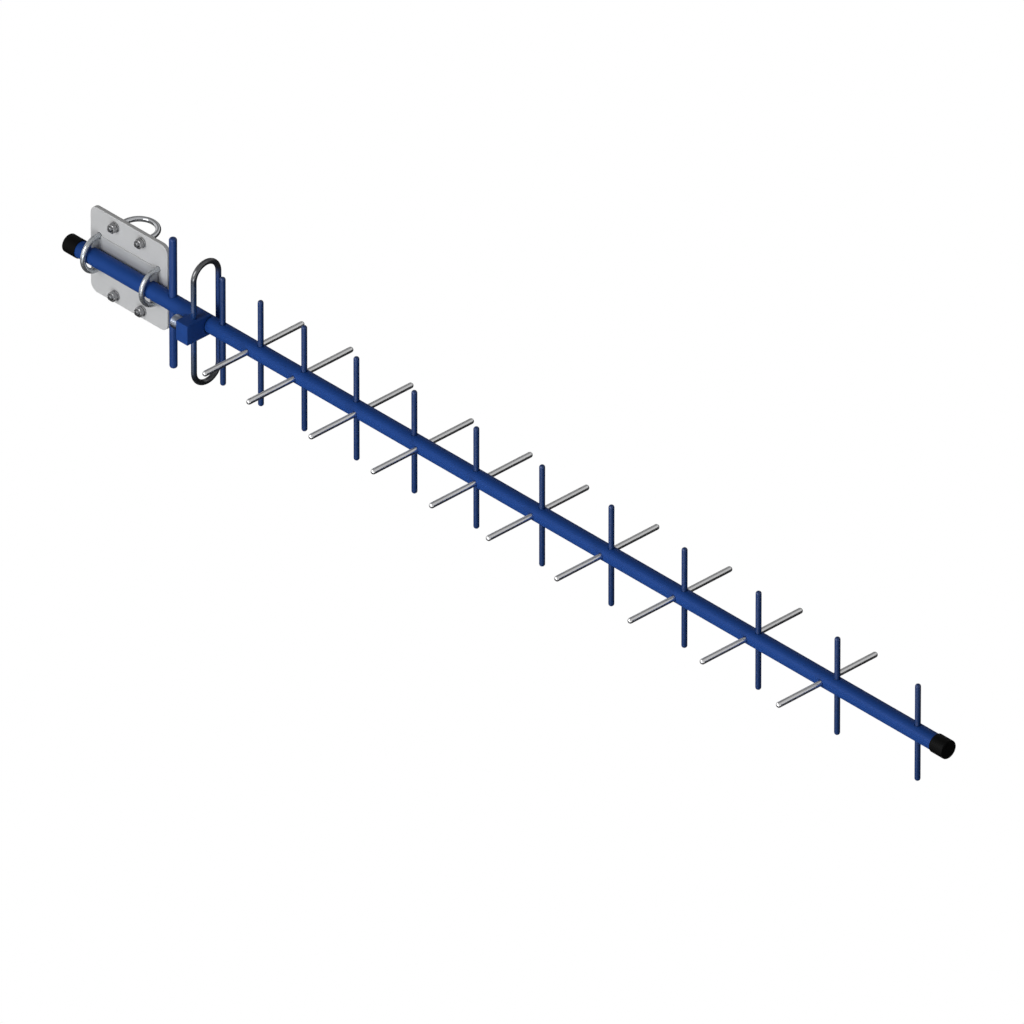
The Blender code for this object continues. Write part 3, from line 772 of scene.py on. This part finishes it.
def rounded_outline(width, height, radius):
    """Points (n, 2) round a rectangle with round corners, about the middle."""
    across, up = width / 2 - radius, height / 2 - radius
    corners = ((across, up, 0), (-across, up, 90), (-across, -up, 180), (across, -up, 270))
    return np.concatenate([fillet((x, y), radius, start, 90, CORNER_STEPS) for x, y, start in corners])


def clamp_plate():
    """Both faces, a rim with rounded edges, and eight bolt holes with broken edges.

    A narrow flat border runs inside each edge, so that the wide faces shade flat."""
    low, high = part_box("mounting_plate")
    thick = high.y - low.y
    border = PLATE_EDGE + PLATE_BORDER
    broken = BOLT_HOLE_R + HOLE_EDGE
    places = [(middle(n).x, middle(n).z) for n in frame["nodes"] if n.startswith("washer_")]

    def outline(inset, y):
        flat = rounded_outline(high.x - low.x - 2 * inset, high.z - low.z - 2 * inset,
                               PLATE_CORNER - inset)
        return np.column_stack([flat[:, 0], np.full(len(flat), y), flat[:, 1]])

    def circle(place, radius, y):
        turn = angles(ROD_SIDES)
        return np.column_stack([place[0] + radius * np.cos(turn), np.full(ROD_SIDES, y),
                                place[1] + radius * np.sin(turn)])

    rim = fillet((PLATE_EDGE, PLATE_EDGE), PLATE_EDGE, 270, -90)
    far_rim = (rim * (1, -1) + (0, thick))[::-1]
    section = np.concatenate([[(border, 0)], rim, far_rim, [(border, thick)]])
    rows = np.stack([outline(inset, high.y - depth) for inset, depth in section])
    skin = Skin().grid(rows, around=True)
    hole = [(broken + PLATE_BORDER, 0), (broken, 0), (BOLT_HOLE_R, HOLE_EDGE),
            (BOLT_HOLE_R, thick - HOLE_EDGE), (broken, thick), (broken + PLATE_BORDER, thick)]
    for place in places:
        skin.grid(np.stack([circle(place, radius, high.y - depth) for radius, depth in hole]),
                  around=True)
    for y in (high.y, low.y):
        skin.filled([outline(border, y)] + [circle(place, hole[0][0], y) for place in places])
    return skin.mesh("mounting_plate")


def cradle_channel():
    """A bent sheet with notched ends, made as a quarter and mirrored twice.

    The sheet's middle line runs from a lug's free edge round the bend and along the web, and each
    of its points carries heights from the notch, sqrt(notch^2 - (y - boom)^2), to the outer edge,
    which is cut back inside the U-bolt's bow, sqrt(room^2 - (y - bow)^2), and rounded."""
    low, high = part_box("boom_cradle")
    web_y = PLATE_FACE_Y - SEAT - SHEET / 2
    end_x = high.x - SHEET / 2
    bolt_low, bolt_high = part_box("boom_u_bolt_front")
    bow = (bolt_high.z - bolt_low.z) / 2 - BOLT_R
    bow_y = bolt_low.y + BOLT_R + bow
    room = bow - BOLT_R - GAP
    beside_bolt = end_x - BOLT_R - GAP
    notch = BOOM_R + GAP
    corner_y = web_y - CRADLE_BEND
    notch_turn = np.linspace(0, TURN / 4, CORNER_STEPS + 1)
    notched = len(notch_turn)
    lug_y = np.concatenate([BOOM_Y + notch * np.sin(notch_turn), [corner_y]])
    lug = np.column_stack([np.full(len(lug_y), end_x), lug_y])
    bend = fillet((end_x - CRADLE_BEND, corner_y), CRADLE_BEND, 0, 90, CORNER_STEPS)[1:]
    web_x = np.concatenate([np.linspace(bend[-1, 0], beside_bolt, WEB_STEPS + 1)[1:],
                            [beside_bolt - CRADLE_STEP, 0]])
    line = np.concatenate([lug, bend, np.column_stack([web_x, np.full(len(web_x), web_y)])])
    normal = square_to(np.gradient(line, axis=0))
    reach = np.sqrt(room ** 2 - (line[:, 1] - bow_y) ** 2)
    by_bolt = line[:, 0] > beside_bolt - CRADLE_STEP / 2
    outer = np.where(by_bolt, np.minimum(high.z, reach), high.z)
    inner = np.zeros(len(line))
    inner[:notched] = notch * np.cos(notch_turn)
    share = np.linspace(0, 1, SHEET_ROWS + 1)
    z = inner[:, None] + share * (outer - SHEET_EDGE - inner)[:, None]
    edge = fillet((SHEET / 2 - SHEET_EDGE, 0), SHEET_EDGE, 0, 90)
    edge = np.concatenate([edge, [(-SHEET / 2, SHEET_EDGE), (-SHEET / 2, 0)]])
    rim = line[:, None, :] + edge[:, 0][None, :, None] * normal[:, None, :]
    rim_z = (outer - SHEET_EDGE)[:, None] + edge[:, 1]
    rim = np.concatenate([rim, rim_z[:, :, None]], axis=2)
    sides = []
    for side in (1, -1):
        flat = np.broadcast_to((line + side * SHEET / 2 * normal)[:, None, :], z.shape + (2,))
        sides.append(np.concatenate([flat, z[:, :, None]], axis=2))
    skin = Skin()
    for mirror in ((1, 1, 1), (-1, 1, 1), (1, 1, -1), (-1, 1, -1)):
        face, back = (rows * mirror for rows in sides)
        skin.grid(face).grid(back).grid(rim * mirror)
        skin.flat(np.concatenate([face[0], rim[0, 1:-1] * mirror, back[0, ::-1]]))
        skin.grid(np.stack([face[:notched, 0], back[:notched, 0]]))
    return skin.mesh("boom_cradle")


def rounded_corner(before, corner, after):
    """A turn drawn towards a corner: (1 - t)^2 before + 2 t (1 - t) corner + t^2 after."""
    t = np.linspace(0, 1, EDGE_STEPS + 1)[:, None]
    return (1 - t) ** 2 * np.array(before) + 2 * t * (1 - t) * np.array(corner) + t ** 2 * np.array(after)


def feed_block():
    """A block with round edges and a groove for the boom.

    The outline in (y, z) is carried along x, and drawn in by edge (1 - cos a) at each end."""
    low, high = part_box("feed_housing")
    edge = HOUSING_EDGE
    groove = BOOM_R + GAP
    lip = math.acos((high.y - BOOM_Y) / groove)
    lip_z = groove * math.sin(lip)
    back = lip + edge / groove
    turn = np.linspace(back, TURN - back, GROOVE_POINTS)
    arc = np.column_stack([BOOM_Y + groove * np.cos(turn), groove * np.sin(turn)])
    upper = np.concatenate([
        fillet((low.y + edge, high.z - edge), edge, 180, -90),
        fillet((high.y - edge, high.z - edge), edge, 90, -90),
        rounded_corner((high.y, lip_z + edge / 2), (high.y, lip_z), arc[0]),
    ])
    outline = np.concatenate([upper, arc[1:-1], upper[::-1] * (1, -1)])
    normal = square_to(np.roll(outline, -1, axis=0) - np.roll(outline, 1, axis=0))
    bend = np.radians(np.linspace(90, 0, EDGE_STEPS + 1))[:, None]
    flat = outline - (HOUSING_END_EDGE * (1 - np.cos(bend)))[:, :, None] * normal
    x = np.broadcast_to(low.x + HOUSING_END_EDGE * (1 - np.sin(bend)), flat.shape[:2])[:, :, None]
    rear = np.concatenate([x, flat], axis=2)
    front = rear[::-1] * (-1, 1, 1) + (low.x + high.x, 0, 0)
    return capped("feed_housing", np.concatenate([rear, front]))


def jack_places():
    """The middle of the jack's base, and the heights over it of the pocket's floor and mouth."""
    low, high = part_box("jack_shell")
    mouth = JACK_LENGTH - JACK_BORE_DEPTH
    floor = mouth - size("jack_insulator").x - GAP
    return (low.x + JACK_LENGTH, (low.y + high.y) / 2, 0), floor, mouth


def jack_shell():
    """The shell from its pocket's floor over the rim and down its thread and collar to the stub."""
    low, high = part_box("jack_shell")
    centre, floor, mouth = jack_places()
    collar = (high.z - low.z) / 2
    spigot = high.x - centre[0]
    relief = JACK_COLLAR + JACK_RELIEF
    neck = JACK_R - JACK_RELIEF_DEPTH
    fine = np.arange(relief, JACK_LENGTH - JACK_EDGE, JACK_PITCH / THREAD_ROWS)
    cut = thread(fine[:, None], angles(JACK_SIDES)[None, :], JACK_PITCH)
    threaded = np.maximum(JACK_R - THREAD_SHARE * JACK_PITCH * cut, neck)
    inside = [(0, floor), (INSULATOR_R + GAP, floor), (INSULATOR_R + GAP, mouth), (JACK_BORE_R, mouth),
              (JACK_BORE_R, JACK_LENGTH - JACK_EDGE), (JACK_BORE_R + JACK_EDGE, JACK_LENGTH),
              (JACK_R - JACK_RIM_EDGE, JACK_LENGTH)]
    round_edge = [(collar - across * JACK_EDGE, JACK_COLLAR - down * JACK_EDGE)
                  for across, down in COLLAR_ROUND]
    below = [(neck, relief), (neck, JACK_COLLAR), *round_edge, (collar, 0),
             (JACK_SPIGOT_R, 0), (JACK_SPIGOT_R, -spigot), (0, -spigot)]
    ring = np.ones((1, JACK_SIDES))
    radius = np.concatenate([*(r * ring for r, _ in inside), threaded[::-1],
                             *(r * ring for r, _ in below)])
    height = np.concatenate([[h for _, h in inside], fine[::-1], [h for _, h in below]])
    return turned("jack_shell", radius, height, centre, (-1, 0, 0))


def jack_insulator():
    """A bead with a hole for the contact."""
    centre, floor, mouth = jack_places()
    start = floor + GAP
    hole = CONTACT_R + GAP
    profile = np.array([(hole, mouth), (INSULATOR_R, mouth), (INSULATOR_R, start), (hole, start),
                        (hole, mouth)])
    return turned("jack_insulator", *profile.T, centre, (-1, 0, 0))


def jack_contact():
    """A pin with a bored tip and broken edges."""
    centre, floor, _ = jack_places()
    start = floor + GAP
    tip = start + size("jack_contact").x
    edge = CONTACT_EDGE
    profile = np.array([(0, tip - CONTACT_BORE_DEPTH), (CONTACT_BORE_R, tip - CONTACT_BORE_DEPTH),
                        (CONTACT_BORE_R, tip - edge), (CONTACT_BORE_R + edge, tip),
                        (CONTACT_R - edge, tip), (CONTACT_R, tip - edge), (CONTACT_R, start), (0, start)])
    return turned("jack_contact", *profile.T, centre, (-1, 0, 0))


def make_antenna():
    wear(boom_tube(), "boom", BOOM_FINISH)
    for node, way in (("front_end_cap", 1), ("rear_end_cap", -1)):
        wear(end_cap(node, way), node, CAP_FINISH)
    for node in UPRIGHTS:
        finish = REFLECTOR_FINISH if node == "reflector" else DIRECTOR_FINISH
        wear(rod(node, size(node).z, (0, 0, 1)), node, finish)
    for node in CROSS_RODS:
        wear(rod(node, size(node).y, (0, 1, 0)), node, CROSS_FINISH)
    wear(dipole_loop(), "folded_dipole", DIPOLE_FINISH)
    wear(feed_block(), "feed_housing", HOUSING_FINISH)
    wear(jack_shell(), "jack_shell", JACK_FINISH)
    wear(jack_insulator(), "jack_insulator", BEAD_FINISH)
    wear(jack_contact(), "jack_contact", CONTACT_FINISH)
    wear(clamp_plate(), "mounting_plate", PLATE_FINISH)
    wear(cradle_channel(), "boom_cradle", CRADLE_SHADED_FINISH)
    for node in sorted(frame["nodes"]):
        if node.startswith("boom_u_bolt"):
            wear(u_bolt(node, BOOM_BOLT_THREAD), node, BOOM_BOLT_FINISH)
        elif node.startswith("mast_u_bolt"):
            wear(u_bolt(node, MAST_BOLT_THREAD), node, MAST_BOLT_FINISH)
        elif node.startswith("nut_"):
            wear(hex_nut(node), node, NUT_FINISH)
        elif node.startswith("washer_"):
            wear(washer(node), node, NUT_FINISH)


def staged(name, corners, finish):
    """A flat four-cornered piece that isn't part of the antenna."""
    mesh = bpy.data.meshes.new(name)
    mesh.from_pydata(corners, [], [(0, 1, 2, 3)])
    mesh.materials.append(finish.material)
    made = bpy.data.objects.new(name, mesh)
    bpy.context.scene.collection.objects.link(made)
    return made


def level_square(half, z):
    """Corners of a square under the boom's middle."""
    x = middle("boom").x
    return [(x + half * a, half * b, z) for a, b in ((-1, -1), (1, -1), (1, 1), (-1, 1))]


def upright_strip(half, away, low, high):
    """Corners of a strip that stands along the boom, with its place measured from the boom."""
    x = middle("boom").x
    return [(x + half * a, BOOM_Y + away, z) for a, z in ((-1, low), (1, low), (1, high), (-1, high))]


def white_paper(name):
    """Pale paper, which the camera, metal and gloss see as white."""
    paper = Finish(name, (0.80, 0.80, 0.80), Roughness=0.9)
    fibre = paper.noise(40, detail=3.0)
    paper.set("Base Color", paper.shade(fibre, 0.98, 1.02))
    seen = larger(paper.ray("Camera"), larger(paper.ray("Glossy"), paper.ray("Transmission")))
    white = paper.node("ShaderNodeEmission", {}, {"Color": WHITE, "Strength": 1.0})
    lit = Socket(paper, paper.shader.outputs["BSDF"])
    mixed = paper.node("ShaderNodeMixShader", {}, {0: seen, 1: lit, 2: white})
    paper.tree.links.new(mixed.link, paper.tree.nodes["Material Output"].inputs["Surface"])
    return paper


def make_floor():
    staged("floor", level_square(FLOOR_HALF, -FLOOR_DROP), white_paper("floor_paper"))


def make_cards():
    """Cards that show only in metal and gloss: black below and behind, a white strip in front."""
    black = Finish("card_black", (0.055, 0.055, 0.058), Roughness=0.9)
    black.set("Base Color", black.shade(black.noise(30), 0.9, 1.1))
    behind = upright_strip(BACK_CARD_HALF, BACK_CARD_AWAY, -CARD_DROP, BACK_CARD_TOP)
    front = upright_strip(CARD_HALF, -STRIP_AWAY, -STRIP_DROPS[1], -STRIP_DROPS[0])
    cards = [
        staged("dark_card_below", level_square(CARD_HALF, -CARD_DROP), black),
        staged("dark_card_behind", behind, black),
        staged("white_strip", front, white_paper("strip_paper")),
    ]
    for card in cards:
        card.visible_camera = False
        card.visible_diffuse = False
        card.visible_shadow = False
        card.visible_transmission = False


def make_world():
    """Soft even light from all round; the camera sees white, and metal sees it darker overhead."""
    world = bpy.data.worlds.new("studio")
    bpy.context.scene.world = world
    world.use_nodes = True
    studio = Graph(world.node_tree)
    camera = studio.ray("Camera")
    shiny = larger(studio.ray("Glossy"), studio.ray("Transmission"))
    way = studio.node("ShaderNodeTexCoord", output="Generated")
    near_patch = studio.node("ShaderNodeVectorMath", {"operation": "DOT_PRODUCT"},
                             {0: way, 1: PATCH_WAY}, "Value")
    overhead = 1.0 - CEILING_SHADE * studio.part(way, "Z").within(*CEILING_EDGE)
    mirrored = overhead * (1.0 - PATCH_SHADE * near_patch.within(*PATCH_EDGE))
    other = shiny * mirrored + (1.0 - shiny) * AMBIENT
    strength = camera + (1.0 - camera) * other
    light = studio.node("ShaderNodeBackground", {}, {"Color": WHITE, "Strength": strength})
    world.node_tree.links.new(light.link, world.node_tree.nodes["World Output"].inputs["Surface"])


def aim(thing, place, target):
    thing.location = place
    thing.rotation_mode = "QUATERNION"
    thing.rotation_quaternion = (target - place).to_track_quat("-Z", "Y")


def area_light(name, heading, elevation, distance, width, power, colour=(1, 1, 1)):
    """A square lamp aimed at the boom's middle.

    Its heading from +X towards +Y and its elevation are in degrees."""
    lamp = bpy.data.lights.new(name, "AREA")
    lamp.shape = "SQUARE"
    lamp.size = width
    lamp.energy = power
    lamp.color = colour
    made = bpy.data.objects.new(name, lamp)
    bpy.context.scene.collection.objects.link(made)
    turn, lift = math.radians(heading), math.radians(elevation)
    way = Vector((math.cos(turn) * math.cos(lift), math.sin(turn) * math.cos(lift), math.sin(lift)))
    target = middle("boom")
    aim(made, target + way * distance, target)
    return made


def make_lamps():
    """A key lamp, a low one that fills the front, and one for the back that gloss doesn't show."""
    area_light("key", heading=-100, elevation=25, distance=4.0, width=2.0, power=84)
    area_light("low_front", heading=-72, elevation=-14, distance=3.2, width=1.4, power=40,
               colour=(0.92, 0.96, 1.0))
    rear_fill = area_light("rear_fill", heading=115, elevation=-12, distance=4.0, width=2.5, power=44)
    rear_fill.visible_glossy = False


def make_camera():
    """Looks along the photograph's direction, with its scale at the middle of the boom.

    Against a parallel view, a near end lies further out by its share of the distance and a far
    end further in, which moves both ends of the boom one way. The aim takes up half of that."""
    across = Vector((math.cos(VIEW_TURN), math.sin(VIEW_TURN), 0))
    level = Vector((-math.sin(VIEW_TURN), math.cos(VIEW_TURN), 0))
    down = math.sin(VIEW_ELEVATION)
    ahead = level * math.cos(VIEW_ELEVATION) - Vector((0, 0, down))
    up = level * down + Vector((0, 0, math.cos(VIEW_ELEVATION)))
    start = Vector((middle("reflector").x, BOOM_Y, 0))
    right = (IMAGE_SIZE / 2 - REFLECTOR_PIXEL[0]) / PIXELS_PER_METRE
    lower = (IMAGE_SIZE / 2 - REFLECTOR_PIXEL[1]) / PIXELS_PER_METRE
    target = start + across * right - up * lower
    boom_middle = Vector((middle("boom").x, BOOM_Y, 0))
    target += ahead * (boom_middle - target).dot(ahead)
    distance = IMAGE_SIZE / PIXELS_PER_METRE * LENS / SENSOR
    half = Vector((size("boom").x / 2, 0, 0))
    drift = half - ahead * half.dot(ahead)
    target -= drift * half.dot(ahead) / distance / 2
    lens = bpy.data.cameras.new("camera")
    lens.lens = LENS
    lens.sensor_width = SENSOR
    lens.clip_start = 1.0
    lens.clip_end = 2 * distance
    camera = bpy.data.objects.new("camera", lens)
    bpy.context.scene.collection.objects.link(camera)
    aim(camera, target - ahead * distance, target)
    bpy.context.scene.camera = camera


make_antenna()
make_floor()
make_cards()
make_world()
make_camera()
make_lamps()
bpy.context.scene.view_settings.view_transform = "Standard"
